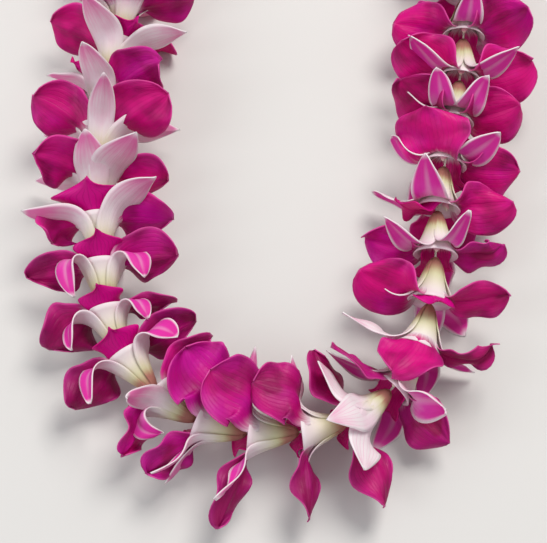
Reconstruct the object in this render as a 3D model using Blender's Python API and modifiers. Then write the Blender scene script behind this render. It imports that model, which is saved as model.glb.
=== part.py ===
"""A fresh orchid lei: forty blossoms strung nose to tail on one knotted thread, lying flat as a closed loop."""

import math

import bmesh
import bpy
from mathutils import Vector

UP = Vector((0.0, 0.0, 1.0))

# The loop. Its route is seen from above, in the direction in which the blossoms face: down the right
# leg, round the bottom, up the left leg and back along the far end.
ROUTE = [
    (0.098, 0.150), (0.094, 0.108), (0.087, 0.072), (0.080, 0.034), (0.076, -0.004),
    (0.066, -0.042), (0.042, -0.068), (0.010, -0.078), (-0.024, -0.076), (-0.054, -0.059),
    (-0.076, -0.027), (-0.083, 0.012), (-0.086, 0.052), (-0.084, 0.092), (-0.078, 0.130),
    (-0.076, 0.168), (-0.082, 0.206), (-0.078, 0.247), (-0.049, 0.281), (0.004, 0.295),
    (0.055, 0.284), (0.089, 0.252), (0.101, 0.217), (0.101, 0.184),
]
ROUTE_STEPS = 24                # samples between two points of the route
STRAND_HEIGHT = 0.022           # the thread above the surface that the lei lies on

# The thread.
THREAD_RADIUS = 0.0006
THREAD_POINTS_PER_BLOSSOM = 2
KNOT_RADIUS = 0.0018
KNOT_AFTER_BLOSSOM = 29         # counted from zero, at the far end of the loop
KNOT_PLACE = 0.5                # of the way from that blossom to the next
TAIL_LENGTH = 0.008
TAIL_ANGLES = (35.0, 250.0)     # round the thread, from straight up towards the outside, in degrees
TAIL_LEAN = 0.75                # how far forward a tail runs, against how far out

# One blossom, measured out from the thread and forward along it.
BLOSSOM_COUNT = 40
FIRST_BLOSSOM = 0.006           # from the route's first point
PETAL_THICKNESS = 0.0010
NEEDLE_HOLE_RADIUS = 0.0014
CUP_PROFILE = [(NEEDLE_HOLE_RADIUS, 0.0), (0.0046, 0.0026), (0.0090, 0.0150)]
FLARE_FORWARD = 0.0165          # how much farther forward the tips of the petals reach than the cup
FLARE_LENGTH = 0.0140           # how soon the petals fold outwards
LOBE_ROWS = (0.5, 1.0)          # of the way from the cup's rim to a lobe's edge
NOTCH = 0.0160                  # where two lobes part
SIZE_SWING = 0.05               # the blossoms differ in size by this share
SIZE_TURN = 2.4                 # radians from one blossom's size to the next

# The edge of a blossom, as the angle from the middle of its upper sepal and the reach from the thread.
# The other half mirrors it.
HALF_EDGE = [
    (0.0, 0.0350),              # upper sepal's tip
    (22.0, NOTCH),
    (41.0, 0.0300),             # petal: shoulder, tip, shoulder
    (66.0, 0.0345),
    (91.0, 0.0300),
    (110.0, NOTCH),
    (134.0, 0.0370),            # lower sepal's tip
    (158.0, NOTCH),
    (180.0, 0.0220),            # lip
]

# Which way each blossom's lip points round the thread, in degrees: 0 is up, 90 is out of the loop.
LIP_TURNS = [
    178, 180, 180, 160, -75, 180, 0, 180,
    180, 180, 180, 180, 180,
    170, 14, 10, 6, 10, 168, 176,
    62, -30, 150, 18, -74, 95, -8, 196, 40, -48, 120, 4, 74, -100,
    22, 132, -36, 66, -12, 104,
]

PETAL_COLOR = (0.50, 0.010, 0.190)
PETAL_TONE_SWING = 0.12
THREAD_COLOR = (0.86, 0.84, 0.78)


def spline_point(before, start, end, after, share):
    """A point of a Catmull-Rom curve between start and end."""
    square = share * share
    cube = square * share
    return 0.5 * (
        2.0 * start
        + (end - before) * share
        + (2.0 * before - 5.0 * start + 4.0 * end - after) * square
        + (3.0 * start - before - 3.0 * end + after) * cube
    )


class Strand:
    """The closed line that the thread follows, read by the distance along it."""

    def __init__(self, route):
        corners = [Vector((x, y, STRAND_HEIGHT)) for x, y in route]
        count = len(corners)
        self.points = []
        for i in range(count):
            near = [corners[(i + k) % count] for k in (-1, 0, 1, 2)]
            self.points += [spline_point(*near, step / ROUTE_STEPS) for step in range(ROUTE_STEPS)]
        self.points.append(self.points[0])
        self.distances = [0.0]
        for a, b in zip(self.points, self.points[1:]):
            self.distances.append(self.distances[-1] + (b - a).length)
        self.length = self.distances[-1]

    def point(self, distance):
        distance %= self.length
        low, high = 0, len(self.distances) - 1
        while high - low > 1:
            middle = (low + high) // 2
            if self.distances[middle] <= distance:
                low = middle
            else:
                high = middle
        span = self.distances[high] - self.distances[low]
        return self.points[low].lerp(self.points[high], (distance - self.distances[low]) / span)

    def forward(self, distance, reach=0.006):
        return (self.point(distance + reach) - self.point(distance - reach)).normalized()

    def beside(self, distance, radius, angle):
        """A point out from the thread, at an angle from straight up towards the outside of the loop."""
        outside = UP.cross(self.forward(distance))
        aside = UP * math.cos(angle) + outside * math.sin(angle)
        return self.point(distance) + aside * radius

    def lying(self, distance, radius, angle):
        """The same, but what would go below the surface is folded forward along it."""
        lowest = PETAL_THICKNESS / 2.0
        below = lowest - self.beside(distance, radius, angle).z
        if below <= 0.0:
            return self.beside(distance, radius, angle)
        folded = self.beside(distance + below, radius, angle)
        folded.z = lowest
        return folded


def material(name, color, roughness):
    made = bpy.data.materials.new(name)
    made.use_nodes = True
    shader = made.node_tree.nodes["Principled BSDF"]
    shader.inputs["Base Color"].default_value = (*color, 1.0)
    shader.inputs["Roughness"].default_value = roughness
    made.diffuse_color = (*color, 1.0)
    return made


def add_object(name, mesh, home, look, collection, parent):
    """An object whose mesh is in the loop's frame, moved so that its origin is at home."""
    for vertex in mesh.vertices:
        vertex.co -= home
    mesh.materials.append(look)
    made = bpy.data.objects.new(name, mesh)
    made.location = home
    made.parent = parent
    collection.objects.link(made)
    return made


def full_edge():
    """The whole edge of a blossom, once round."""
    other_half = [(-angle, reach) for angle, reach in HALF_EDGE[1:-1]]
    return HALF_EDGE + other_half[::-1]


def forward_of(radius):
    """How far forward of its needle hole a blossom's surface lies, at a radius outside the cup's rim."""
    rim_radius, rim_forward = CUP_PROFILE[-1]
    return rim_forward + FLARE_FORWARD * (1.0 - math.exp((rim_radius - radius) / FLARE_LENGTH))


def blossom_profile(reach):
    """Radius and forward distance of one line of the blossom, from the needle hole to the edge."""
    rim = CUP_PROFILE[-1][0]
    radii = [rim + (reach - rim) * share for share in LOBE_ROWS]
    return CUP_PROFILE + [(radius, forward_of(radius)) for radius in radii]


def blossom_mesh(name, strand, needle, lip_turn, size):
    """A grid rolled round the thread: its columns run from the needle hole out to the edge."""
    edge = full_edge()
    rows = len(CUP_PROFILE) + len(LOBE_ROWS)
    grid = bmesh.new()
    bmesh.ops.create_grid(grid, x_segments=len(edge), y_segments=rows - 1, size=1.0)
    for vertex in grid.verts:
        column = round((vertex.co.x + 1.0) / 2.0 * len(edge)) % len(edge)
        row = round((vertex.co.y + 1.0) / 2.0 * (rows - 1))
        angle, reach = edge[column]
        radius, forward = blossom_profile(reach * size)[row]
        around = math.radians(lip_turn + 180.0 + angle)
        vertex.co = strand.lying(needle + forward, radius, around)
    bmesh.ops.remove_doubles(grid, verts=grid.verts, dist=0.00005)
    mesh = bpy.data.meshes.new(name)
    grid.to_mesh(mesh)
    grid.free()
    return mesh


def add_blossom(index, strand, needle, collection, parent):
    name = f"blossom_{index + 1:02d}"
    swing = math.sin(index * SIZE_TURN)
    mesh = blossom_mesh(name, strand, needle, LIP_TURNS[index], 1.0 + SIZE_SWING * swing)
    tone = 1.0 + PETAL_TONE_SWING * swing
    look = material(name, [channel * tone for channel in PETAL_COLOR], 0.45)
    made = add_object(name, mesh, strand.point(needle), look, collection, parent)
    shell = made.modifiers.new("petal thickness", "SOLIDIFY")
    shell.thickness = PETAL_THICKNESS
    shell.offset = 0.0


def tube(name, points, radius, closed):
    """A round line through points, as a mesh object."""
    curve = bpy.data.curves.new(name, "CURVE")
    curve.dimensions = "3D"
    curve.bevel_depth = radius
    curve.bevel_resolution = 2
    curve.use_fill_caps = not closed
    line = curve.splines.new("POLY")
    line.points.add(len(points) - 1)
    for place, point in zip(line.points, points):
        place.co = (*point, 1.0)
    line.use_cyclic_u = closed
    made = bpy.data.objects.new(name, curve)
    bpy.context.scene.collection.objects.link(made)
    mesh = bpy.data.meshes.new_from_object(made)
    bpy.data.objects.remove(made)
    return mesh


def add_cutter(name, mesh, collection, parent):
    made = bpy.data.objects.new(name, mesh)
    made.display_type = "WIRE"
    made.hide_render = True
    made.parent = parent
    collection.objects.link(made)
    return made


def knot_ball(centre):
    ball = bmesh.new()
    bmesh.ops.create_uvsphere(ball, u_segments=12, v_segments=8, radius=KNOT_RADIUS)
    bmesh.ops.translate(ball, verts=ball.verts, vec=centre)
    mesh = bpy.data.meshes.new("knot ball")
    ball.to_mesh(mesh)
    ball.free()
    return mesh


def tail_mesh(strand, knot, angle):
    """One trimmed end of the thread, leaving the knot forwards and outwards."""
    out = TAIL_LENGTH / math.hypot(1.0, TAIL_LEAN)
    around = math.radians(angle)
    shares = (0.0, 0.4, 1.0)
    points = [strand.beside(knot + out * share * TAIL_LEAN, out * share, around) for share in shares]
    return tube("tail", points, THREAD_RADIUS, closed=False)


def add_thread(strand, needles, pitch, collection, cutters, parent):
    step = pitch / THREAD_POINTS_PER_BLOSSOM
    count = BLOSSOM_COUNT * THREAD_POINTS_PER_BLOSSOM
    points = [strand.point(needles[0] + step * i) for i in range(count)]
    mesh = tube("string", points, THREAD_RADIUS, closed=True)
    look = material("string", THREAD_COLOR, 0.7)
    thread = add_object("string", mesh, strand.point(needles[0]), look, collection, parent)
    knot = needles[KNOT_AFTER_BLOSSOM] + pitch * KNOT_PLACE
    joined = [knot_ball(strand.point(knot))]
    joined += [tail_mesh(strand, knot, angle) for angle in TAIL_ANGLES]
    for mesh in joined:
        union = thread.modifiers.new(mesh.name, "BOOLEAN")
        union.operation = "UNION"
        union.solver = "EXACT"
        union.object = add_cutter(mesh.name, mesh, cutters, parent)


def world_box(objects):
    bpy.context.view_layer.update()
    depsgraph = bpy.context.evaluated_depsgraph_get()
    corners = []
    for made in objects:
        shape = made.evaluated_get(depsgraph)
        corners += [shape.matrix_world @ vertex.co for vertex in shape.data.vertices]
    low = [min(corner[axis] for corner in corners) for axis in range(3)]
    high = [max(corner[axis] for corner in corners) for axis in range(3)]
    return low, high


def main():
    for old in list(bpy.data.objects):
        bpy.data.objects.remove(old)
    lei = bpy.data.collections.new("flower lei")
    cutters = bpy.data.collections.new("cutters")
    for collection in (lei, cutters):
        bpy.context.scene.collection.children.link(collection)
    frame = bpy.data.objects.new("lei frame", None)
    lei.objects.link(frame)

    strand = Strand(ROUTE)
    pitch = strand.length / BLOSSOM_COUNT
    needles = [FIRST_BLOSSOM + pitch * i for i in range(BLOSSOM_COUNT)]
    for index, needle in enumerate(needles):
        add_blossom(index, strand, needle, lei, frame)
    add_thread(strand, needles, pitch, lei, cutters, frame)

    # The origin is under the middle of the loop's box, on the surface that the petals lie on.
    low, high = world_box([made for made in lei.objects if made.type == "MESH"])
    frame.location = (-(low[0] + high[0]) / 2.0, -(low[1] + high[1]) / 2.0, -low[2])
    print(f"thread {strand.length:.4f} m round, a blossom every {pitch:.4f} m")


main()
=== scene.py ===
import math

import bpy
import numpy as np
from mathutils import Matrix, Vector


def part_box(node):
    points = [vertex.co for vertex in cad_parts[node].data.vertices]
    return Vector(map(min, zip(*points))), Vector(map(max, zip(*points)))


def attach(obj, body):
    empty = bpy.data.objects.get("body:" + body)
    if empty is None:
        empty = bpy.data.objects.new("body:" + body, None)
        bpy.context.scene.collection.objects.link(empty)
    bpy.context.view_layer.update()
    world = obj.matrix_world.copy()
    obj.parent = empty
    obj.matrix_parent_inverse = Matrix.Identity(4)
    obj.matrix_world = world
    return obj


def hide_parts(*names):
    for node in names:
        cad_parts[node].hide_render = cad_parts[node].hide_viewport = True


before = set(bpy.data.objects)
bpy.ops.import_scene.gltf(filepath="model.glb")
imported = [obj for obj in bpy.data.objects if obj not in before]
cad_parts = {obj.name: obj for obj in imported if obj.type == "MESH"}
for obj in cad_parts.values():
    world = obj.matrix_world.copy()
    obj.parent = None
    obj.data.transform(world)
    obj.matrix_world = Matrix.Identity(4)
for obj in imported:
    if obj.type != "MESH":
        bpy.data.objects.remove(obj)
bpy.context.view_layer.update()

MM = 0.001

# ---------------------------------------------------------------- the strand

# The thread's route seen from above, in the direction in which the blossoms face.
ROUTE = [
    (0.098, 0.150), (0.094, 0.108), (0.087, 0.072), (0.080, 0.034), (0.076, -0.004),
    (0.066, -0.042), (0.042, -0.068), (0.010, -0.078), (-0.024, -0.076), (-0.054, -0.059),
    (-0.076, -0.027), (-0.083, 0.012), (-0.086, 0.052), (-0.084, 0.092), (-0.078, 0.130),
    (-0.076, 0.168), (-0.082, 0.206), (-0.078, 0.247), (-0.049, 0.281), (0.004, 0.295),
    (0.055, 0.284), (0.089, 0.252), (0.101, 0.217), (0.101, 0.184),
]
ROUTE_STEPS = 24
STRAND_HEIGHT = 22 * MM
THREAD_RADIUS = 0.6 * MM
BLOSSOM_COUNT = 40
FIRST_BLOSSOM = 6 * MM
KNOT_AFTER_BLOSSOM = 29
TAIL_LENGTH = 8 * MM
TAIL_ANGLES = (35.0, 250.0)
TAIL_LEAN = 0.75


class Strand:
    """The closed line of the thread, read by the distance along it, for whole arrays at once."""

    def __init__(self, route):
        corners = np.array(route)
        share = np.arange(ROUTE_STEPS)[:, None] / ROUTE_STEPS
        before, start, end, after = (np.roll(corners, k, axis=0) for k in (1, 0, -1, -2))
        stretches = [
            0.5 * (
                2 * b + (c - a) * share + (2 * a - 5 * b + 4 * c - d) * share**2
                + (3 * b - a - 3 * c + d) * share**3
            )
            for a, b, c, d in zip(before, start, end, after)
        ]
        points = np.concatenate(stretches + [corners[:1]])
        steps = np.linalg.norm(np.diff(points, axis=0), axis=1)
        self.distances = np.concatenate([[0.0], np.cumsum(steps)])
        self.length = self.distances[-1]
        low = np.array(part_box("string")[0][:2]) + THREAD_RADIUS
        self.points = points - points.min(axis=0) + low

    def point(self, distance):
        around = np.mod(distance, self.length)
        return np.stack(
            [np.interp(around, self.distances, self.points[:, k]) for k in (0, 1)], axis=-1
        )

    def forward(self, distance, reach=6 * MM):
        way = self.point(distance + reach) - self.point(distance - reach)
        return way / np.linalg.norm(way, axis=-1, keepdims=True)

    def beside(self, distance, radius, angle):
        """Points out from the thread, at an angle from straight up towards the loop's outside."""
        way = self.forward(distance)
        aside = np.sin(angle) * radius
        flat = self.point(distance) + np.stack([-way[..., 1] * aside, way[..., 0] * aside], axis=-1)
        height = STRAND_HEIGHT + np.cos(angle) * radius
        return np.concatenate([flat, height[..., None]], axis=-1)


strand = Strand(ROUTE)
PITCH = strand.length / BLOSSOM_COUNT

# ---------------------------------------------------------------- shader helpers


class Maths:
    """A socket for use in Python expressions. An expression on values adds its Math nodes."""

    def __init__(self, tree, socket):
        self.tree = tree
        self.socket = socket

    def with_math(self, operation, *values, clamp=False):
        node = self.tree.nodes.new("ShaderNodeMath")
        node.operation = operation
        node.use_clamp = clamp
        for place, value in zip(node.inputs, values):
            if isinstance(value, Maths):
                self.tree.links.new(value.socket, place)
            else:
                place.default_value = value
        return Maths(self.tree, node.outputs[0])

    def __add__(self, other):
        return self.with_math("ADD", self, other)

    def __radd__(self, other):
        return self.with_math("ADD", other, self)

    def __sub__(self, other):
        return self.with_math("SUBTRACT", self, other)

    def __rsub__(self, other):
        return self.with_math("SUBTRACT", other, self)

    def __mul__(self, other):
        return self.with_math("MULTIPLY", self, other)

    def sine(self):
        return self.with_math("SINE", self)

    def size(self):
        return self.with_math("ABSOLUTE", self)

    def held(self):
        """Kept between 0 and 1."""
        return self.with_math("ADD", self, 0.0, clamp=True)

    def between(self, low, high):
        """0 where the value is at low, 1 at high, and smooth in between."""
        node = self.tree.nodes.new("ShaderNodeMapRange")
        node.interpolation_type = "SMOOTHSTEP"
        self.tree.links.new(self.socket, node.inputs["Value"])
        node.inputs["From Min"].default_value = low
        node.inputs["From Max"].default_value = high
        return Maths(self.tree, node.outputs["Result"])


class Finish:
    """A material under construction: its node tree, and short ways to add what a finish needs."""

    def __init__(self, name, roughness, through=0.0):
        self.material = bpy.data.materials.new(name)
        self.material.use_nodes = True
        self.tree = self.material.node_tree
        self.shader = self.tree.nodes["Principled BSDF"]
        self.shader.inputs["Roughness"].default_value = roughness
        self.shader.inputs["Specular IOR Level"].default_value = 0.25
        self.through = None
        if through:
            self.let_light_through(through)

    def node(self, kind, settings=(), **inputs):
        node = self.tree.nodes.new(kind)
        for key, value in dict(settings).items():
            setattr(node, key, value)
        for key, value in inputs.items():
            place = node.inputs[key.replace("_", " ")]
            if isinstance(value, Maths):
                self.tree.links.new(value.socket, place)
            else:
                place.default_value = value
        return node

    def out(self, node, name):
        return Maths(self.tree, node.outputs[name])

    def map_values(self, name):
        """The two values of one of the piece's UV maps."""
        uv = self.node("ShaderNodeUVMap", {"uv_map": name})
        parts = self.node("ShaderNodeSeparateXYZ", Vector=self.out(uv, "UV"))
        return self.out(parts, "X"), self.out(parts, "Y")

    def place(self):
        return self.out(self.node("ShaderNodeTexCoord"), "Object")

    def noise(self, where, scale, detail=3.0):
        return self.out(
            self.node("ShaderNodeTexNoise", Vector=where, Scale=scale, Detail=detail), "Fac"
        )

    def joined(self, x, y, z):
        return self.out(self.node("ShaderNodeCombineXYZ", X=x, Y=y, Z=z), "Vector")

    def mixed(self, share, first, second):
        """A colour between two others. Each is a colour's three numbers or a socket."""
        node = self.tree.nodes.new("ShaderNodeMix")
        node.data_type = "RGBA"
        self.tree.links.new(share.socket, node.inputs["Factor"])
        for name, value in (("A", first), ("B", second)):
            place = next(s for s in node.inputs if s.name == name and s.type == "RGBA")
            if isinstance(value, Maths):
                self.tree.links.new(value.socket, place)
            else:
                place.default_value = (*value, 1.0)
        return Maths(self.tree, next(s for s in node.outputs if s.type == "RGBA"))

    def let_light_through(self, share):
        """A thin petal glows with the light from its other side."""
        self.through = self.node("ShaderNodeBsdfTranslucent")
        mix = self.node("ShaderNodeMixShader", Fac=share)
        self.tree.links.new(self.shader.outputs[0], mix.inputs[1])
        self.tree.links.new(self.through.outputs[0], mix.inputs[2])
        self.tree.links.new(mix.outputs[0], self.tree.nodes["Material Output"].inputs["Surface"])

    def color(self, value):
        self.tree.links.new(value.socket, self.shader.inputs["Base Color"])
        if self.through:
            self.tree.links.new(value.socket, self.through.inputs["Color"])

    def drive(self, name, value):
        self.tree.links.new(value.socket, self.shader.inputs[name])

    def bump(self, height, distance):
        made = self.node("ShaderNodeBump", Height=height, Distance=distance, Strength=1.0)
        self.tree.links.new(made.outputs["Normal"], self.shader.inputs["Normal"])


# ---------------------------------------------------------------- the finishes

MAGENTA = (0.70, 0.000, 0.205)
DEEP_MAGENTA = (0.30, 0.000, 0.075)
PURPLE_MAGENTA = (0.64, 0.000, 0.330)
ROSE = (0.80, 0.050, 0.480)
PINK = (0.84, 0.10, 0.42)
PALE_PINK = (0.86, 0.56, 0.68)
WHITE = (0.93, 0.875, 0.88)
CREAM = (0.84, 0.77, 0.60)
GREEN_CREAM = (0.60, 0.62, 0.24)
SCAR = (0.46, 0.12, 0.13)
COTTON = (0.80, 0.76, 0.66)
COTTON_STAIN = (0.56, 0.50, 0.40)
VEIN_DRIFT = 0.045
VEIN_WIDTH = 0.42


def veins(finish, across, along, count):
    """Fine lines that fan out from the base of a lobe, a little uneven."""
    drift = finish.noise(finish.joined(across * 6.0, along * 3.0, 0.0), 1.0)
    wave = ((across + drift * VEIN_DRIFT) * (math.pi * count)).sine().size()
    return 1.0 - wave.between(0.0, VEIN_WIDTH)


def petal_finish():
    """The broad petals: magenta on both faces, with deep and purple patches, pale at the cup.

    Lobes that lie in shadow get painted shade, and the edges a painted sheen.
    """
    made = Finish("petal", 0.42, through=0.26)
    across, along = made.map_values("lobe")
    side, tone = made.map_values("flower")
    # The shade map carries each lobe's painted shade, for lobes that lie in shadow.
    painted_shade = made.map_values("shade")[0]
    edge = (across * 2.0 - 1.0).size()
    lines = veins(made, across, along, 15)
    cloud = made.noise(made.place(), 55.0, detail=4.0)
    streak = made.noise(made.joined(across * 24.0, along * 2.0, tone * 9.0), 1.0)
    shade = made.noise(made.joined(across * 2.2, along * 2.2, tone * 23.0), 1.0, detail=2.0)
    base = made.mixed((cloud * 1.2 + tone * 0.4 - 0.35).between(0.2, 0.8), MAGENTA, PURPLE_MAGENTA)
    # DEEP_MAGENTA comes in along the veins and in random patches, and as painted shade on lobes in
    # shadow.
    deep = made.mixed(
        (lines * 0.16 + shade.between(0.42, 0.70) * 0.80 + painted_shade).held(), base, DEEP_MAGENTA
    )
    # The rear faces are a little rosier, and ROSE along the edges is a painted sheen.
    rosy_back_and_edge_sheen = made.mixed((side * 0.06 + edge.between(0.45, 1.0) * 0.16).held(), deep, ROSE)
    rim = made.mixed(
        ((edge.between(0.93, 1.0) + along.between(0.965, 1.0)) * 0.55).held(), rosy_back_and_edge_sheen, PINK
    )
    whole = made.mixed(1.0 - (along + streak * 0.14).between(0.12, 0.34), rim, WHITE)
    made.color(whole)
    made.drive("Roughness", 0.36 + cloud * 0.16)
    grain = made.noise(made.place(), 1500.0, detail=2.0)
    rumple = made.noise(made.joined(across * 5.0, along * 3.5, tone * 17.0), 1.0, detail=2.0)
    made.bump(rumple * 7.0 - lines * 0.6 + grain * 0.5, 0.00014)
    return made.material


def sepal_finish():
    """The pointed sepals and the cup: a brown scar at the base, then green, cream and white.

    A sepal turns magenta inside and stays pale outside, with a white edge and tip.
    """
    made = Finish("sepal", 0.44, through=0.22)
    across, along = made.map_values("lobe")
    side, tone = made.map_values("flower")
    edge = (across * 2.0 - 1.0).size()
    lines = veins(made, across, along, 9)
    streak = made.noise(made.joined(across * 14.0, along * 2.5, tone * 7.0), 1.0)
    drift = made.noise(made.joined(across * 2.0, along * 3.0, tone * 31.0), 1.0)
    middle = (1.0 - edge.between(0.0, 0.30)) * (1.0 - along.between(0.70, 0.98)) * 0.36
    blush = made.mixed(
        (along + streak * 0.25 + edge * 0.15).between(0.55, 1.05) * 0.45, ROSE, MAGENTA
    )
    inside = made.mixed(middle.held(), blush, PALE_PINK)
    reach = along + streak * 0.30 + drift * 0.30 + tone * 0.22 + edge * 0.10
    outside = made.mixed((reach.between(0.84, 1.42) * 0.85).held(), WHITE, PINK)
    veined = made.mixed((lines * along.between(0.4, 0.8) * 0.30).held(), outside, PINK)
    faces = made.mixed(side, inside, veined)
    margin = (edge + streak * 0.20).between(0.86, 1.10) * 0.9
    tip = along.between(0.91, 1.0) * 0.9
    white = ((margin + tip).held() * along.between(0.35, 0.50)).held()
    rimmed = made.mixed(white, faces, WHITE)
    pale = 1.0 - (along + streak * 0.14).between(0.40, 0.60)
    cupped = made.mixed(pale, rimmed, WHITE)
    wall = along.between(0.24, 0.42) * (1.0 - along.between(0.5, 0.7))
    warm = (drift.between(0.40, 0.65) * 0.35 + side * 0.10) * wall
    blushed = made.mixed(warm.held(), cupped, PALE_PINK)
    cream = made.mixed(1.0 - (along + streak * 0.10).between(0.22, 0.50), blushed, CREAM)
    green = made.mixed(
        (1.0 - (along + streak * 0.08).between(0.14, 0.36)) * 0.85, cream, GREEN_CREAM
    )
    scar = made.mixed((1.0 - (along + streak * 0.07).between(0.14, 0.25)) * 0.85, green, SCAR)
    made.color(scar)
    cloud = made.noise(made.place(), 900.0, detail=2.0)
    made.drive("Roughness", 0.40 + cloud * 0.14)
    made.bump(lines * -0.5 + cloud * 0.4, 0.00012)
    return made.material


def lip_finish():
    """The lip: a white throat with purple lines that turns deep magenta."""
    made = Finish("lip", 0.40, through=0.18)
    across, along = made.map_values("lobe")
    side, tone = made.map_values("flower")
    lines = veins(made, across, along, 13)
    streak = made.noise(made.joined(across * 16.0, along * 3.0, tone * 5.0), 1.0)
    blade = made.mixed((lines * 0.5).held(), MAGENTA, DEEP_MAGENTA)
    faces = made.mixed(side * 0.35, blade, PURPLE_MAGENTA)
    throat = made.mixed((lines * 0.55).held(), WHITE, PURPLE_MAGENTA)
    whole = made.mixed(1.0 - (along + streak * 0.18).between(0.30, 0.46), faces, throat)
    made.color(whole)
    made.drive("Roughness", 0.34 + streak * 0.14)
    made.bump(lines * -0.7 + streak * 0.2, 0.00015)
    return made.material


def column_finish():
    """The column in the throat: cream, with a magenta flush under its cap."""
    made = Finish("column", 0.38, through=0.12)
    across, along = made.map_values("lobe")
    cloud = made.noise(made.place(), 600.0)
    flush = ((along + cloud * 0.3 - 0.15).between(0.35, 0.75)
             * (1.0 - along.between(0.80, 0.92)) * 0.55)
    made.color(made.mixed(flush.held(), CREAM, PINK))
    made.bump(cloud, 0.0001)
    return made.material


def thread_finish():
    """Off-white cotton, fibrous, a little stained."""
    made = Finish("thread", 0.8)
    fine = made.noise(made.place(), 5000.0, detail=4.0)
    broad = made.noise(made.place(), 90.0)
    made.color(made.mixed((fine * 0.6 + broad * 0.5 - 0.3).held(), COTTON, COTTON_STAIN))
    made.bump(fine, 0.0001)
    return made.material


# ---------------------------------------------------------------- the cut-out lobes


def select_only(*objects):
    for o in bpy.context.selected_objects:
        o.select_set(False)
    for o in objects:
        o.select_set(True)
    bpy.context.view_layer.objects.active = objects[0]


def apply_modifiers(o):
    select_only(o)
    for modifier in list(o.modifiers):
        bpy.ops.object.modifier_apply(modifier=modifier.name)


# Half widths of the lobes are in mm. A lobe widens until some share of its length, then tapers to
# its tip.
PETAL_HALF = 16.5
CLAW_HALF = 2.4
PETAL_WIDEST, PETAL_TAPER = 0.55, 0.45
SEPAL_WIDEST, SEPAL_TAPER = 0.56, 0.44
SEPAL_LENGTH = 49.0
UPPER_SEPAL_LENGTH = 45.0
PETAL_LENGTH = 34.0
LIP_LENGTH = 31.0


def petal_width(along):
    """Broad and round, with a slight point, on a narrow claw."""
    taper = np.clip(along - PETAL_WIDEST, 0.0, 1.0) / PETAL_TAPER
    outer = np.clip(1.0 - taper**2.1, 0.0, 1.0) ** 0.58
    inner = np.clip((PETAL_WIDEST - along) / PETAL_WIDEST, 0.0, 1.0)
    claw = CLAW_HALF + (PETAL_HALF - CLAW_HALF) * (1.0 - inner**1.8)
    return np.where(along < PETAL_WIDEST, claw, PETAL_HALF * outer) + 0.25


def sepal_width(along, base, widest):
    """A lance: narrow round the cup, widest past its middle, with a sharp tip."""
    rise = base + (widest - base) * np.sin(np.clip(along / SEPAL_WIDEST, 0.0, 1.0) * math.pi / 2)
    taper = np.clip(along - SEPAL_WIDEST, 0.0, 1.0) / SEPAL_TAPER
    fall = np.clip(1.0 - taper**1.7, 0.0, 1.0) ** 0.92
    return rise * fall + 0.2


def lip_width(along):
    """Two side lobes that stand up beside the column, a waist, and a broad pointed middle lobe."""
    side_lobes = 8.2 * np.exp(-(((along - 0.36) / 0.15) ** 2))
    middle_lobe = 8.6 * np.exp(-(((along - 0.68) / 0.17) ** 2))
    tip = np.clip((1.0 - along) / 0.28, 0.0, 1.0) ** 0.80
    return (1.6 + side_lobes + middle_lobe) * (0.08 + 0.92 * tip)


# kind: (half width along the lobe in mm, length in mm, cells across, cells along)
LOBES = {
    "cup": (None, None, 32, 10),
    "upper": (lambda along: sepal_width(along, 2.2, 7.0), UPPER_SEPAL_LENGTH, 10, 30),
    "petal_a": (petal_width, PETAL_LENGTH, 18, 26),
    "petal_b": (petal_width, PETAL_LENGTH, 18, 26),
    "lower_a": (lambda along: sepal_width(along, 2.6, 8.8), SEPAL_LENGTH, 10, 32),
    "lower_b": (lambda along: sepal_width(along, 2.6, 8.8), SEPAL_LENGTH, 10, 32),
    "lip": (lip_width, LIP_LENGTH, 16, 30),
}
NAMES = list(LOBES)
PETAL_NAMES = ("petal_a", "petal_b")
FINISH_NUMBERS = {"petal_a": 1, "petal_b": 1, "lip": 2}      # the cup and the sepals have finish 0
CUP_WALL = 0.42            # how far up a sepal's pattern the cup's rim is
CUP_STRIPE = 0.02          # and how much of the pattern's width goes round the cup


def cut_out(name):
    """One lobe as a flat grid. It keeps where each point is, from base to tip and across."""
    columns, rows = LOBES[name][2:]
    bpy.ops.object.select_all(action="DESELECT")
    bpy.ops.mesh.primitive_grid_add(x_subdivisions=columns, y_subdivisions=rows, size=2.0)
    o = bpy.context.object
    mesh = o.data
    flat = np.empty(len(mesh.vertices) * 3)
    mesh.vertices.foreach_get("co", flat)
    flat = flat.reshape(-1, 3)
    for key, values in (("across", flat[:, 0]), ("along", (flat[:, 1] + 1.0) / 2.0)):
        mesh.attributes.new(key, "FLOAT", "POINT").data.foreach_set(
            "value", values.astype(np.float32)
        )
    kind = np.full(len(flat), NAMES.index(name), np.int32)
    mesh.attributes.new("lobe_number", "INT", "POINT").data.foreach_set("value", kind)
    mesh.uv_layers[0].name = "lobe"
    if name == "cup":
        shown = np.empty(len(mesh.loops) * 2, np.float32)
        mesh.uv_layers[0].data.foreach_get("uv", shown)
        shown = shown.reshape(-1, 2)
        shown[:, 0] = 0.5 + (shown[:, 0] - 0.5) * CUP_STRIPE
        shown[:, 1] *= CUP_WALL
        mesh.uv_layers[0].data.foreach_set("uv", shown.ravel())
    look = np.full(len(mesh.polygons), FINISH_NUMBERS.get(name, 0), np.int32)
    mesh.polygons.foreach_set("material_index", look)
    return o


def flower_pattern(finishes):
    """All the lobes of one blossom, cut out and joined. Every blossom starts as a copy of it."""
    lobes = [cut_out(name) for name in NAMES]
    for o in lobes:
        for finish in finishes:
            o.data.materials.append(finish)
    select_only(*lobes)
    bpy.ops.object.join()
    pattern = bpy.context.object
    pattern.name = "flower_pattern"
    return pattern


def column_pattern(finish):
    """The ball that every column is drawn out of."""
    bpy.ops.object.select_all(action="DESELECT")
    bpy.ops.mesh.primitive_uv_sphere_add(segments=14, ring_count=12, radius=1.0)
    o = bpy.context.object
    o.name = "column_pattern"
    o.data.uv_layers[0].name = "lobe"
    o.data.materials.append(finish)
    return o


# ---------------------------------------------------------------- posing a blossom

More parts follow.
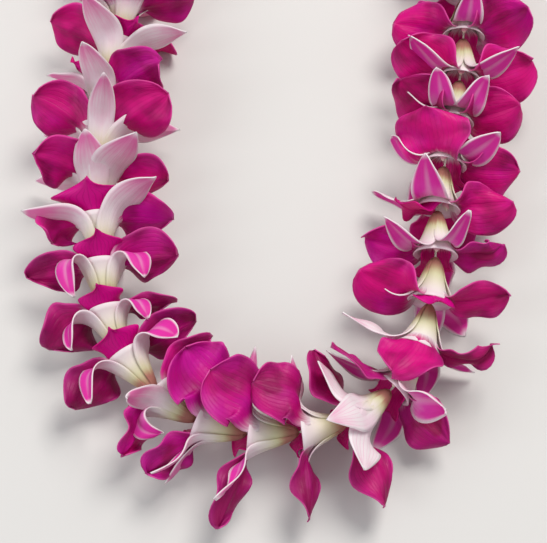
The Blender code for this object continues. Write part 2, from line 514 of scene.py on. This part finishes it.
# The cup from its base to its rim: radius, and distance forward of the needle hole.
CUP_LINE = np.array([
    [0.9, -5.2], [1.9, -4.2], [3.5, 0.0], [5.0, 5.5], [6.4, 10.5], [7.9, 14.2], [10.6, 17.6],
]) * MM
CUP_RIM = CUP_LINE[-1]
SHEET_THICKNESS = 0.55 * MM
SEAM_GAP = 0.01 * MM
OWN_ROOM = 10.3 * MM       # how far forward or back a lobe may lean into its neighbours' room
PETAL_ROOM = 17.0 * MM     # petals all flop the same way, so they may lean farther
ROOM_STARTS = (7.5 * MM, 13.0 * MM)          # the radii where a lobe starts to keep to its room
LEAN_LIMITS = (25.0, 135.0)
FLOOR_SOFTNESS = 1.3 * MM
FLOOR_GAP = 0.35 * MM
FLOOR_FOLD = 0.9           # how much of what would go below the floor is folded forward along it
COLUMN_START = (2.9, 4.0)                    # radius and distance forward, in mm
COLUMN_LENGTH = 12.5
COLUMN_GIRTH = 1.45
MIDDLE_LINE_POINTS = 65
ROUNDING = 9               # points of a middle line over which a corner is rounded


def ramp(value, low, high):
    share = np.clip((value - low) / (high - low), 0.0, 1.0)
    return share * share * (3.0 - 2.0 * share)


def bent_line(length, start, angles):
    """A lobe's middle line: shares of its length, and the angle, radius and place at each.

    start is its radius and distance forward. angles pairs shares of its length with degrees from
    forward.
    """
    along = np.linspace(0.0, 1.0, MIDDLE_LINE_POINTS)
    angle = np.radians(np.interp(along, *zip(*angles)))
    # The corners between the stated angles are rounded.
    kernel = np.ones(ROUNDING) / ROUNDING
    angle = np.convolve(np.pad(angle, ROUNDING // 2, mode="edge"), kernel, mode="valid")
    step = length / (MIDDLE_LINE_POINTS - 1)
    middle = (angle[1:] + angle[:-1]) / 2.0
    radius = start[0] + np.concatenate([[0.0], np.cumsum(np.sin(middle))]) * step
    ahead = start[1] + np.concatenate([[0.0], np.cumsum(np.cos(middle))]) * step
    return along, angle, radius, ahead


def sheet(along, across, width, length, start, angles, wrap, curl, wave, turns, phase, twist, lean,
          keel, twist_along=(0.10, 0.55)):
    """Bends a flat lobe. Gives each point's radius, its side step and how far forward it is.

    wrap is how strongly the base follows the round cup, and curl how many radians the edges turn in
    towards the flower's front. The edges ripple by wave, in so many turns. twist is in radians at
    the tip, and comes in along the part twist_along. The tip steps aside by lean, and a groove as
    deep as keel runs along the middle. wave, lean and keel are in mm.
    """
    line, angle, radius, ahead = bent_line(length, start, angles)
    a = np.interp(along, line, angle)
    r = np.interp(along, line, radius)
    f = np.interp(along, line, ahead)
    half = width * MM
    hold = wrap * (1.0 - ramp(along, 0.18, 0.55))
    turn = (half / np.maximum(r, 2.0 * MM) * hold
            + np.interp(along, *zip(*curl)) * (1.0 - hold * 0.8))
    turn = np.where(np.abs(turn) < 1e-3, 1e-3, turn)
    x = half * np.sin(turn * across) / turn
    h = half * (1.0 - np.cos(turn * across)) / turn
    ripple = np.sin(along * turns * 2 * math.pi + phase + across * 1.3)
    h = h + wave * MM * ripple * np.abs(across) ** 2.5 * ramp(along, 0.2, 0.5)
    h = (h + wave * 0.4 * MM * np.sin(3.4 * along + 2.2 * across + 1.7 * phase)
         * ramp(along, 0.25, 0.6))
    groove = (np.exp(-((across / 0.13) ** 2)) * ramp(along, 0.1, 0.4)
              * (1.0 - ramp(along, 0.85, 1.0)))
    h = h - keel * MM * groove
    spin = twist * ramp(along, *twist_along)
    x, h = x * np.cos(spin) - h * np.sin(spin), x * np.sin(spin) + h * np.cos(spin)
    side = x + lean * MM * along**2
    return r - h * np.cos(a), side, f + h * np.sin(a)


def opening(flower, azimuth):
    """How far a blossom stands open, in degrees from forward, at an angle round the thread."""
    up, out, down, into = flower["open"]
    high, wide = np.cos(azimuth), np.sin(azimuth)
    return (
        np.where(high > 0, up, down) * high**2
        + np.where(wide > 0, out, into) * wide**2
    )


def home_line(flower, radius, azimuth):
    """How far forward the blossom's own surface lies. Neighbours share the room in between."""
    lean = 1.0 / np.tan(np.radians(np.clip(opening(flower, azimuth), *LEAN_LIMITS)))
    return CUP_RIM[1] + np.maximum(radius - CUP_RIM[0], 0.0) * lean


def on_strand(flower, radius, ahead, azimuth, hold=1.0, room=OWN_ROOM):
    """Puts points round the thread, in the blossom's own room, and folds them along the floor."""
    home = home_line(flower, radius, azimuth)
    kept = home + room * np.tanh((ahead - home) / room)
    share = hold * ramp(radius, *ROOM_STARTS)
    ahead = ahead + (kept - ahead) * share
    height = STRAND_HEIGHT + radius * np.cos(azimuth) - FLOOR_GAP
    soft = FLOOR_SOFTNESS * np.logaddexp(0.0, height / FLOOR_SOFTNESS)
    fold = (soft - height) * FLOOR_FOLD
    placed = strand.beside(flower["needle"] + ahead + fold, radius, azimuth)
    placed[..., 2] = soft + FLOOR_GAP
    return placed


# How far round the thread each lobe is from the lip, in degrees.
HOME_TURNS = {
    "upper": 180.0, "petal_a": 112.0, "petal_b": 248.0, "lower_a": 47.0, "lower_b": -47.0,
    "lip": 0.0,
}
AZIMUTH_CHANCE = 9.0
OPEN_CHANCE = 8.0


def lobe_shapes(flower):
    """What bends each lobe of one blossom. Angles are degrees from forward: 90 stands square out.

    A lobe's own settings: at is its angle round the thread from straight up, open its angle from
    forward, fold how far its outer part folds over backwards, from fold_at of its length, and twist
    its turn about its own middle line. aside is how many mm its tip steps aside, and hood how
    strongly a sepal's edges turn in. wide, long, room and painted_shade are used elsewhere: its
    width and length against the usual, how many mm it may lean into its neighbours' room, and how
    much painted shade darkens a lobe that lies in shadow.
    """
    rng = flower["chance"]
    shapes = {}
    for name, turn in HOME_TURNS.items():
        own = flower["lobes"].get(name, {})
        azimuth_chance, open_chance, phase, side = rng.uniform(-1.0, 1.0, 4)
        azimuth = flower["lip"] + math.radians(turn + AZIMUTH_CHANCE * azimuth_chance)
        if "at" in own:
            azimuth = math.radians(own["at"])
        lean = own.get(
            "open", float(opening(flower, np.array(azimuth))) + OPEN_CHANCE * open_chance
        )
        fold = own.get("fold", 0.0)
        fold_at = own.get("fold_at", 0.6)
        # A flopped petal turns about its own middle line, so that one face looks up.
        flop = flower["flop"] * math.sin(azimuth) if name in PETAL_NAMES else 0.0
        twist = math.radians(own.get("twist", flop))
        phase *= math.pi
        aside = own.get("aside", 2.0 * side)
        hood = own.get("hood", 1.0)
        tip = (1.0, lean + 24.0 + 12.0 * side + fold)
        if name in ("upper", "lower_a", "lower_b"):
            shapes[name] = azimuth, dict(
                start=(1.8 * MM, -4.6 * MM),
                angles=[
                    (0.0, 46.0), (0.05, 20.0), (0.25, 17.0), (0.38, 24.0),
                    (0.50, lean * 0.6 + 16.0), (fold_at, lean + 6.0),
                    (fold_at + 0.14, lean + 8.0 + fold), tip,
                ],
                wrap=1.0,
                curl=[(0.0, 0.0), (0.5, 0.35 * hood), (0.8, 0.30 * hood), (1.0, 0.8 * hood)],
                wave=0.8, turns=1.7, phase=phase, twist=0.25 * side + twist,
                twist_along=(0.42, 0.78), lean=aside, keel=0.4,
            )
        elif name in PETAL_NAMES:
            shapes[name] = azimuth, dict(
                start=(5.6 * MM, 9.5 * MM),
                angles=[
                    (0.0, 24.0), (0.14, 34.0), (0.30, lean), (fold_at, lean + 6.0),
                    (fold_at + 0.2, lean + 10.0 + fold), tip,
                ],
                wrap=0.8, curl=[(0.0, 0.2), (0.35, -0.10), (0.7, -0.35), (1.0, -0.55)],
                wave=3.0, turns=1.9, phase=phase, twist=0.2 * side + twist, lean=aside, keel=1.3,
            )
        else:
            shapes[name] = azimuth, dict(
                start=(3.0 * MM, 3.0 * MM),
                angles=[
                    (0.0, 16.0), (0.40, 20.0), (0.54, 44.0), (0.72, lean + 6.0),
                    (1.0, lean + 26.0 + fold),
                ],
                wrap=0.0, curl=[(0.0, 1.0), (0.34, 1.5), (0.54, 0.7), (0.72, 0.3), (1.0, 0.3)],
                wave=1.5, turns=2.8, phase=phase, twist=0.12 * side + twist, lean=aside, keel=0.8,
            )
    return shapes


def pose_lobes(flower, along, across, number):
    """Every point of one blossom's sheets, in the loop's frame."""
    placed = np.empty((len(along), 3))
    size = flower["size"]
    shapes = lobe_shapes(flower)
    for index, name in enumerate(NAMES):
        mine = number == index
        s, w = along[mine], across[mine]
        if name == "cup":
            line = np.linspace(0.0, 1.0, len(CUP_LINE))
            radius = np.interp(s, line, CUP_LINE[:, 0])
            ahead = np.interp(s, line, CUP_LINE[:, 1])
            placed[mine] = on_strand(flower, radius, ahead, flower["lip"] + w * math.pi, hold=0.0)
            continue
        width, length = LOBES[name][:2]
        azimuth, shape = shapes[name]
        own = flower["lobes"].get(name, {})
        wide = width(s) * size * own.get("wide", 1.0)
        r, side, ahead = sheet(s, w, wide, length * MM * size * own.get("long", 1.0), **shape)
        room = PETAL_ROOM if name in PETAL_NAMES else OWN_ROOM
        if "room" in own:
            room = own["room"] * MM
        around = azimuth + np.arctan2(side, r)
        placed[mine] = on_strand(flower, np.hypot(r, side), ahead, around, room=room)
    return placed


def read_points(mesh, key, kind):
    values = np.empty(len(mesh.vertices), kind)
    mesh.attributes[key].data.foreach_get("value", values)
    return values


def add_map(mesh, name, first, second):
    """A UV map that holds two values for each corner of each face."""
    values = np.empty((len(mesh.loops), 2), np.float32)
    values[:, 0] = first
    values[:, 1] = second
    mesh.uv_layers.new(name=name, do_init=False).data.foreach_set("uv", values.ravel())


def set_flower_maps(mesh, flower, front_count):
    """The maps that tell front from rear, one lobe's tone from the next, and each lobe's painted
    shade.
    """
    corner = np.empty(len(mesh.loops), np.int32)
    mesh.loops.foreach_get("vertex_index", corner)
    number = read_points(mesh, "lobe_number", np.int32)[corner]
    # How much painted shade darkens each lobe that lies in shadow.
    painted_shade = np.array([flower["lobes"].get(name, {}).get("painted_shade", 0.0) for name in NAMES])
    add_map(
        mesh, "flower", corner >= front_count,
        flower["tone"] + TONE_SWING * np.sin(TONE_TURN * number),
    )
    add_map(mesh, "shade", painted_shade[number], 0.0)


def make_sheets(flower, pattern):
    """One blossom's cup, sepals, petals and lip."""
    mesh = pattern.data.copy()
    o = bpy.data.objects.new(flower["name"] + "_petals", mesh)
    bpy.context.scene.collection.objects.link(o)
    along = read_points(mesh, "along", np.float32)
    across = read_points(mesh, "across", np.float32)
    number = read_points(mesh, "lobe_number", np.int32)
    mesh.vertices.foreach_set("co", pose_lobes(flower, along, across, number).ravel())
    mesh.update()
    # The cup's two side edges meet opposite the lip.
    seam = o.modifiers.new("close the cup", "WELD")
    seam.merge_threshold = SEAM_GAP
    apply_modifiers(o)
    count = len(mesh.vertices)
    wall = o.modifiers.new("thickness", "SOLIDIFY")
    wall.thickness = SHEET_THICKNESS
    wall.offset = 0.0
    apply_modifiers(o)
    set_flower_maps(mesh, flower, count)
    mesh.polygons.foreach_set("use_smooth", np.ones(len(mesh.polygons), bool))
    for key in ("along", "across", "lobe_number"):
        mesh.attributes.remove(mesh.attributes[key])
    return o


def make_column(flower, pattern):
    """The column in one blossom's throat: a ball drawn out to a hooded cap. Sizes are in mm."""
    mesh = pattern.data.copy()
    o = bpy.data.objects.new(flower["name"] + "_column", mesh)
    bpy.context.scene.collection.objects.link(o)
    flat = np.empty(len(mesh.vertices) * 3)
    mesh.vertices.foreach_get("co", flat)
    flat = flat.reshape(-1, 3)
    rise = (flat[:, 2] + 1.0) / 2.0
    cap = 0.35 * ramp(rise, 0.60, 0.85)
    foot = 0.15 * (1.0 - ramp(rise, 0.0, 0.3))
    girth = COLUMN_GIRTH + cap - foot
    full = np.clip(np.hypot(flat[:, 0], flat[:, 1]) * 1.5, 0.0, 1.0)
    turn = np.arctan2(flat[:, 1], flat[:, 0])
    r = (COLUMN_START[0] + 0.9 * rise) * MM + np.cos(turn) * full * girth * MM
    side = np.sin(turn) * full * girth * MM
    ahead = (COLUMN_START[1] + COLUMN_LENGTH * rise + 0.8 * np.cos(turn) * rise) * MM
    azimuth = flower["lip"] + math.pi + np.arctan2(side, r)
    placed = on_strand(flower, np.hypot(r, side), ahead, azimuth, hold=0.0)
    mesh.vertices.foreach_set("co", placed.ravel())
    mesh.polygons.foreach_set("use_smooth", np.ones(len(mesh.polygons), bool))
    mesh.update()
    add_map(mesh, "flower", 0.0, flower["tone"])
    return o


# ---------------------------------------------------------------- the forty blossoms

# Which way each blossom's lip points round the thread, in degrees: 0 is up, 90 is out of the loop.
LIP_TURNS = [
    178, 180, 180, 160, -75, 180, 0, 180,
    180, 180, 180, 180, 180,
    170, 14, 10, 6, 10, 168, 176,
    62, -30, 150, 18, -74, 95, -8, 196, 40, -48, 120, 4, 74, -100,
    22, 132, -36, 66, -12, 104,
]
SIZE_SWING = 0.05
SIZE_TURN = 2.4
BLOSSOM_TONE_TURN = 4.1    # radians from one blossom's tone to the next
TONE_SWING = 0.3           # how much the lobes of one blossom differ from each other
TONE_TURN = 2.1
FIRST_SEED = 5

# How a stretch of the strand lies. open is how far its blossoms stand open, in degrees from
# forward: up, out of the loop, down and into the loop. flop turns the petals' fronts up, or their
# backs if negative. lobes are the settings that its lobes share, and STRETCHES gives the last
# blossom of each stretch.
FOLDED = dict(fold=58.0, fold_at=0.58, hood=-0.4, room=17.0)
RIGHT_LEG = dict(open=(112.0, 86.0, 60.0, 86.0), flop=52.0)
# Every second petal along the bottom gets some painted shade.
BOTTOM = dict(
    open=(28.0, 64.0, 66.0, 50.0), flop=-40.0, lobes={"petal_b": dict(twist=50.0, painted_shade=0.2)},
)
LEFT_LOW = dict(
    open=(84.0, 70.0, 60.0, 70.0), flop=-52.0, lobes={"lower_a": FOLDED, "lower_b": FOLDED},
)
LEFT_HIGH = dict(open=(54.0, 66.0, 60.0, 66.0), flop=-52.0)
FAR_END = dict(open=(66.0, 64.0, 62.0, 64.0), flop=-25.0)
STRETCHES = [(8, RIGHT_LEG), (13, BOTTOM), (16, LEFT_LOW), (20, LEFT_HIGH), (40, FAR_END)]

# What sets single blossoms and their lobes apart, by their number from one.
# Lobes that lie in shadow are given painted shade, which darkens their colour.
SINGLE = {
    2: dict(lobes=dict(
        upper=dict(at=52, open=112), petal_a=dict(open=100), petal_b=dict(open=104),
        lower_a=dict(at=-56, open=112),
    )),
    3: dict(tone=0.0, lobes=dict(
        upper=dict(at=24, open=132, aside=0, long=1.1, wide=1.05, hood=0.4),
        petal_a=dict(at=-66, open=108, twist=-30, painted_shade=0.25),
        petal_b=dict(at=66, open=104, twist=48, wide=1.06),
        lower_a=dict(at=-26, open=128, aside=0, long=1.0, wide=0.84, hood=0.4),
        lower_b=dict(at=-84, open=122),
    )),
    4: dict(lobes=dict(
        upper=dict(at=44, open=116, wide=1.2), petal_a=dict(at=-30, open=138, twist=-8, wide=1.12),
        petal_b=dict(at=98, open=96), lower_b=dict(at=-84, open=112, wide=0.8, fold=30),
    )),
    5: dict(lobes=dict(
        upper=dict(at=112, open=96), petal_a=dict(at=78, open=98, twist=56), petal_b=dict(at=168),
        lower_a=dict(at=-22, open=118), lower_b=dict(at=-104, open=112),
        lip=dict(open=96, wide=1.2),
    )),
    6: dict(lobes=dict(
        upper=dict(at=26, open=112, wide=0.85), petal_a=dict(at=-92, open=96, wide=0.85),
        petal_b=dict(at=90, open=88, wide=0.6, fold=64, fold_at=0.68, twist=30, painted_shade=0.4),
        lower_a=dict(at=-58, open=114), lower_b=dict(at=168),
    )),
    7: dict(lobes=dict(
        upper=dict(at=176), petal_a=dict(at=78, open=98, wide=0.62, painted_shade=0.3),
        petal_b=dict(at=-72, open=94, twist=-54), lower_a=dict(at=142, open=90, long=0.9),
        lower_b=dict(at=-98, open=112), lip=dict(open=34, long=0.8),
    )),
    8: dict(tone=-0.7, lobes=dict(
        upper=dict(at=122, open=88), petal_a=dict(at=-6, open=12, fold=-14, twist=0, room=60),
        petal_b=dict(
            at=80, open=92, wide=0.42, long=1.15, fold=64, fold_at=0.66, twist=24, painted_shade=0.6,
        ),
        lower_a=dict(at=-80, open=104, wide=0.72, long=1.1, fold=-30, twist=64, room=20),
        lower_b=dict(at=162),
    )),
    9: dict(lobes=dict(
        upper=dict(at=58, open=126, twist=44, wide=1.5, long=1.1, room=22),
        petal_a=dict(at=-66, open=60, wide=0.8, painted_shade=0.3),
        petal_b=dict(at=98, open=92, twist=50, wide=0.75, painted_shade=0.6), lower_a=dict(at=-92, open=54),
        lower_b=dict(at=156),
    )),
    10: dict(tone=-0.9, lobes=dict(
        upper=dict(at=4, open=58, wide=1.3, long=0.84, room=20, hood=0.5),
        petal_a=dict(at=-88, open=76, twist=56, wide=1.1, painted_shade=0.5, room=30),
        petal_b=dict(at=98, open=92, twist=-62, wide=0.6, long=1.2, painted_shade=0.4),
        lower_a=dict(at=-56, open=66, wide=1.3, long=0.86, hood=0.4, twist=26, room=18),
        lower_b=dict(at=62, open=64, wide=1.3, long=0.86, hood=0.4, twist=-26, room=18),
    )),
    11: dict(lobes=dict(
        upper=dict(at=-74, open=84, wide=0.9, long=1.08, twist=80, room=60),
        petal_a=dict(
            at=-48, open=92, fold=-92, fold_at=0.3, twist=44, wide=0.98, long=1.26, room=60,
            painted_shade=0.45,
        ),
        petal_b=dict(at=92, open=86, twist=-66, wide=0.46, long=1.2, painted_shade=0.7),
        lower_a=dict(at=-108, open=92), lower_b=dict(at=128, open=82),
    )),
    12: dict(lobes=dict(
        upper=dict(at=-72, open=84, wide=0.9, long=1.12, twist=80, room=60),
        petal_a=dict(
            at=-40, open=92, fold=-92, fold_at=0.3, twist=36, wide=0.98, long=1.26, room=60,
            painted_shade=0.2,
        ),
        petal_b=dict(at=92, open=76, twist=-62, wide=0.4, long=1.25, painted_shade=0.8),
        lower_a=dict(at=-104, open=88), lower_b=dict(at=68, open=84, wide=0.5, twist=70),
    )),
    13: dict(tone=1.3, lobes=dict(
        upper=dict(at=108, open=80, wide=0.8),
        petal_a=dict(
            at=-46, open=92, fold=-88, fold_at=0.3, twist=42, wide=1.08, long=1.3, room=60,
        ),
        petal_b=dict(at=92, open=60, twist=-50, wide=0.6, painted_shade=0.4), lower_a=dict(at=-100, open=96),
        lower_b=dict(at=72, open=92, wide=0.5, twist=70),
    )),
    14: dict(lobes=dict(
        upper=dict(at=30, open=74), petal_a=dict(at=-80, open=92, twist=50),
        petal_b=dict(at=88, open=112, twist=-40, wide=0.7), lower_a=dict(at=-108, open=92),
        lower_b=dict(at=74, open=128, wide=0.6, twist=60),
    )),
    15: dict(lobes=dict(
        petal_a=dict(at=104, open=112, twist=-60, wide=0.85, painted_shade=0.8),
        petal_b=dict(at=-96, open=96, painted_shade=0.6),
        lower_a=dict(at=70, open=88, fold=52, hood=0.5, room=24, twist=30, wide=0.66),
        lower_b=dict(
            at=-58, open=84, fold=60, fold_at=0.56, hood=0.4, room=26, twist=-60, wide=0.8,
            long=1.04,
        ),
        lip=dict(open=46, wide=1.15),
    )),
    16: dict(lobes=dict(
        petal_a=dict(at=100, open=114, twist=-60, painted_shade=0.7),
        petal_b=dict(at=-88, open=104, wide=0.6, fold=30, painted_shade=0.5),
        lower_a=dict(at=66, open=96, fold=56, hood=0.4, room=24, twist=0, wide=0.7),
        lower_b=dict(
            at=-54, open=88, fold=80, fold_at=0.52, hood=0.8, room=24, twist=-24, wide=0.66,
            long=1.06,
        ),
        lip=dict(open=46, wide=1.15),
    )),
    17: dict(lobes=dict(
        petal_a=dict(at=96, open=100, twist=-48, wide=0.8, painted_shade=0.5),
        petal_b=dict(at=-86, open=90, twist=48, painted_shade=0.35),
        lower_a=dict(
            at=56, open=88, fold=84, fold_at=0.5, hood=0.5, room=28, twist=26, wide=0.66, long=1.08,
        ),
        lower_b=dict(
            at=-60, open=86, fold=76, fold_at=0.54, hood=0.4, room=26, twist=-30, wide=0.72,
            long=1.04,
        ),
        lip=dict(open=46, wide=1.15),
    )),
    18: dict(lobes=dict(
        petal_a=dict(at=96, open=96, fold=60, fold_at=0.45, twist=-40, wide=0.8),
        petal_b=dict(at=-96, open=98, twist=60), lower_a=dict(at=74, open=88, wide=1.1, twist=-30),
        lower_b=dict(at=-54, open=62, long=1.08, wide=1.05),
        lip=dict(open=44, wide=2.0, long=1.1, room=20),
    )),
    19: dict(tone=0.25, lobes=dict(
        upper=dict(at=10, open=48, wide=1.25), petal_a=dict(at=-98, open=96, twist=50),
        petal_b=dict(at=56, open=84, twist=-44, painted_shade=0.2),
        lower_a=dict(at=-34, open=78, wide=1.2, long=1.05),
        lower_b=dict(at=108, open=106, wide=1.15, twist=-50), lip=dict(open=44, wide=1.2),
    )),
    20: dict(tone=0.0, lobes=dict(
        upper=dict(at=-6, open=56, wide=0.9, long=1.1),
        petal_a=dict(at=-62, open=54, twist=50, long=1.1),
        petal_b=dict(at=70, open=62, twist=-50, wide=0.92, painted_shade=0.2),
        lower_a=dict(at=-96, open=84, twist=50, wide=1.2),
        lower_b=dict(at=122, open=108, wide=0.9, twist=-50),
    )),
}


def flower_facts(index):
    swing = math.sin(index * SIZE_TURN)
    facts = dict(
        name=f"blossom_{index + 1:02d}",
        needle=FIRST_BLOSSOM + PITCH * index,
        lip=math.radians(LIP_TURNS[index]),
        size=1.0 + SIZE_SWING * swing,
        tone=0.5 + 0.5 * math.sin(index * BLOSSOM_TONE_TURN),
        chance=np.random.default_rng(index + FIRST_SEED),
    )
    stretch = next(shared for last, shared in STRETCHES if index < last)
    single = SINGLE.get(index + 1, {})
    lobes = {
        name: {**stretch.get("lobes", {}).get(name, {}), **single.get("lobes", {}).get(name, {})}
        for name in HOME_TURNS
    }
    facts.update(stretch)
    facts["lobes"] = lobes
    facts["tone"] = single.get("tone", facts["tone"])
    return facts


def make_blossoms():
    looks = [sepal_finish(), petal_finish(), lip_finish()]
    sheets = flower_pattern(looks)
    column = column_pattern(column_finish())
    for index in range(BLOSSOM_COUNT):
        flower = flower_facts(index)
        for piece in (make_sheets(flower, sheets), make_column(flower, column)):
            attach(piece, "root")
            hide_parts(flower["name"])
    for pattern in (sheets, column):
        bpy.data.objects.remove(pattern)


# ---------------------------------------------------------------- the thread

PLY_RADIUS = 0.33 * MM
PLY_PITCH = 3.2 * MM
PLY_STEPS = 8
PLY_OFFSET = 0.85                            # of a ply's radius, from the thread's middle
KNOT_PLACE = 0.5                             # of the way from the blossom before it to the next
# The knot's radius, how far it swings in and out, and how far it reaches along the thread, in mm.
KNOT_RADIUS, KNOT_SWING, KNOT_REACH = 0.75, 0.45, 0.9
KNOT_POINTS = 48
KNOT_TUBE = 0.55 * MM
TAIL_POINTS = 12
TAIL_TUBE = 0.45 * MM
TAIL_DROOP = 20.0                            # radians for each metre out


def thread_tube(name, points, radius, closed, finish):
    """A round line through points."""
    curve = bpy.data.curves.new(name, "CURVE")
    curve.dimensions = "3D"
    curve.bevel_depth = radius
    curve.bevel_resolution = 1
    curve.use_fill_caps = not closed
    line = curve.splines.new("POLY")
    line.points.add(len(points) - 1)
    line.points.foreach_set("co", np.hstack([points, np.ones((len(points), 1))]).ravel())
    line.use_cyclic_u = closed
    curve.materials.append(finish)
    o = bpy.data.objects.new(name, curve)
    bpy.context.scene.collection.objects.link(o)
    select_only(o)
    bpy.ops.object.convert(target="MESH")
    o = bpy.context.object
    o.data.polygons.foreach_set("use_smooth", np.ones(len(o.data.polygons), bool))
    return o


def make_thread():
    """Two plies twisted round each other, a small knot at the far end and its two trimmed tails."""
    finish = thread_finish()
    turns = round(strand.length / PLY_PITCH)
    distance = np.linspace(0.0, strand.length, turns * PLY_STEPS, endpoint=False)
    twist = distance / strand.length * turns * 2 * math.pi
    parts = []
    for ply in (0, 1):
        points = strand.beside(distance, PLY_RADIUS * PLY_OFFSET, twist + ply * math.pi)
        parts.append(thread_tube(f"ply_{ply}", points, PLY_RADIUS, True, finish))
    knot = FIRST_BLOSSOM + PITCH * (KNOT_AFTER_BLOSSOM + KNOT_PLACE)
    t = np.linspace(0.0, 2 * math.pi, KNOT_POINTS, endpoint=False)
    radius = (KNOT_RADIUS + KNOT_SWING * np.cos(3 * t)) * MM
    loop = strand.beside(knot + KNOT_REACH * np.sin(3 * t) * MM, radius, 2 * t)
    parts.append(thread_tube("knot", loop, KNOT_TUBE, True, finish))
    out = TAIL_LENGTH / math.hypot(1.0, TAIL_LEAN) * np.linspace(0.0, 1.0, TAIL_POINTS)
    for angle in TAIL_ANGLES:
        droop = math.radians(angle) + out * TAIL_DROOP
        points = strand.beside(knot + out * TAIL_LEAN, out, droop)
        parts.append(thread_tube("tail", points, TAIL_TUBE, False, finish))
    select_only(*parts)
    bpy.ops.object.join()
    thread = bpy.context.object
    thread.name = "thread"
    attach(thread, "root")
    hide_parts("string")


# ---------------------------------------------------------------- floor, light and camera

VIEW_ELEVATION = 70.0
VIEW_DISTANCE = 0.7235
LENS = 100.0
SENSOR_WIDTH = 36.0
AIM_HEIGHT = 24 * MM
# Where the route's zero lies in the loop's frame.
ROUTE_ORIGIN = strand.points[0] - np.array(ROUTE[0])
FLOOR_SIZE = 6.0
FLOOR_COLOR = (0.62, 0.60, 0.575)
SKY_COLOR = (0.93, 0.96, 1.0)
SKY_STRENGTH = 0.55


def make_floor():
    bpy.ops.object.select_all(action="DESELECT")
    bpy.ops.mesh.primitive_plane_add(size=FLOOR_SIZE)
    floor = bpy.context.object
    floor.name = "floor"
    finish = Finish("floor", 0.7)
    finish.shader.inputs["Base Color"].default_value = (*FLOOR_COLOR, 1.0)
    floor.data.materials.append(finish.material)


def add_light(name, place, aim, size, power, color):
    light = bpy.data.lights.new(name, "AREA")
    light.shape = "DISK"
    light.size = size
    light.energy = power
    light.color = color
    o = bpy.data.objects.new(name, light)
    o.location = place
    o.rotation_euler = (Vector(aim) - Vector(place)).to_track_quat("-Z", "Y").to_euler()
    bpy.context.scene.collection.objects.link(o)


def make_light():
    world = bpy.data.worlds.new("studio")
    world.use_nodes = True
    sky = world.node_tree.nodes["Background"]
    sky.inputs["Color"].default_value = (*SKY_COLOR, 1.0)
    sky.inputs["Strength"].default_value = SKY_STRENGTH
    bpy.context.scene.world = world
    middle = (0.0, 0.0, 0.0)
    add_light("key", (0.5, 0.7, 1.5), middle, 0.9, 26.0, (1.0, 0.985, 0.96))
    add_light("fill", (-1.1, -0.5, 0.9), middle, 1.0, 7.0, (0.92, 0.96, 1.0))


def show_plain_colors():
    """Colours come out as they are mixed, with no film look over them."""
    bpy.context.scene.view_settings.view_transform = "Standard"


def make_camera():
    camera = bpy.data.cameras.new("camera")
    camera.lens = LENS
    camera.sensor_width = SENSOR_WIDTH
    camera.clip_start = 0.01
    o = bpy.data.objects.new("camera", camera)
    tilt = math.radians(VIEW_ELEVATION)
    aim = Vector((*ROUTE_ORIGIN, AIM_HEIGHT))
    o.location = aim + VIEW_DISTANCE * Vector((0.0, -math.cos(tilt), math.sin(tilt)))
    o.rotation_euler = (math.pi / 2 - tilt, 0.0, 0.0)
    bpy.context.scene.collection.objects.link(o)
    bpy.context.scene.camera = o


show_plain_colors()
make_camera()
make_floor()
make_light()
make_blossoms()
make_thread()
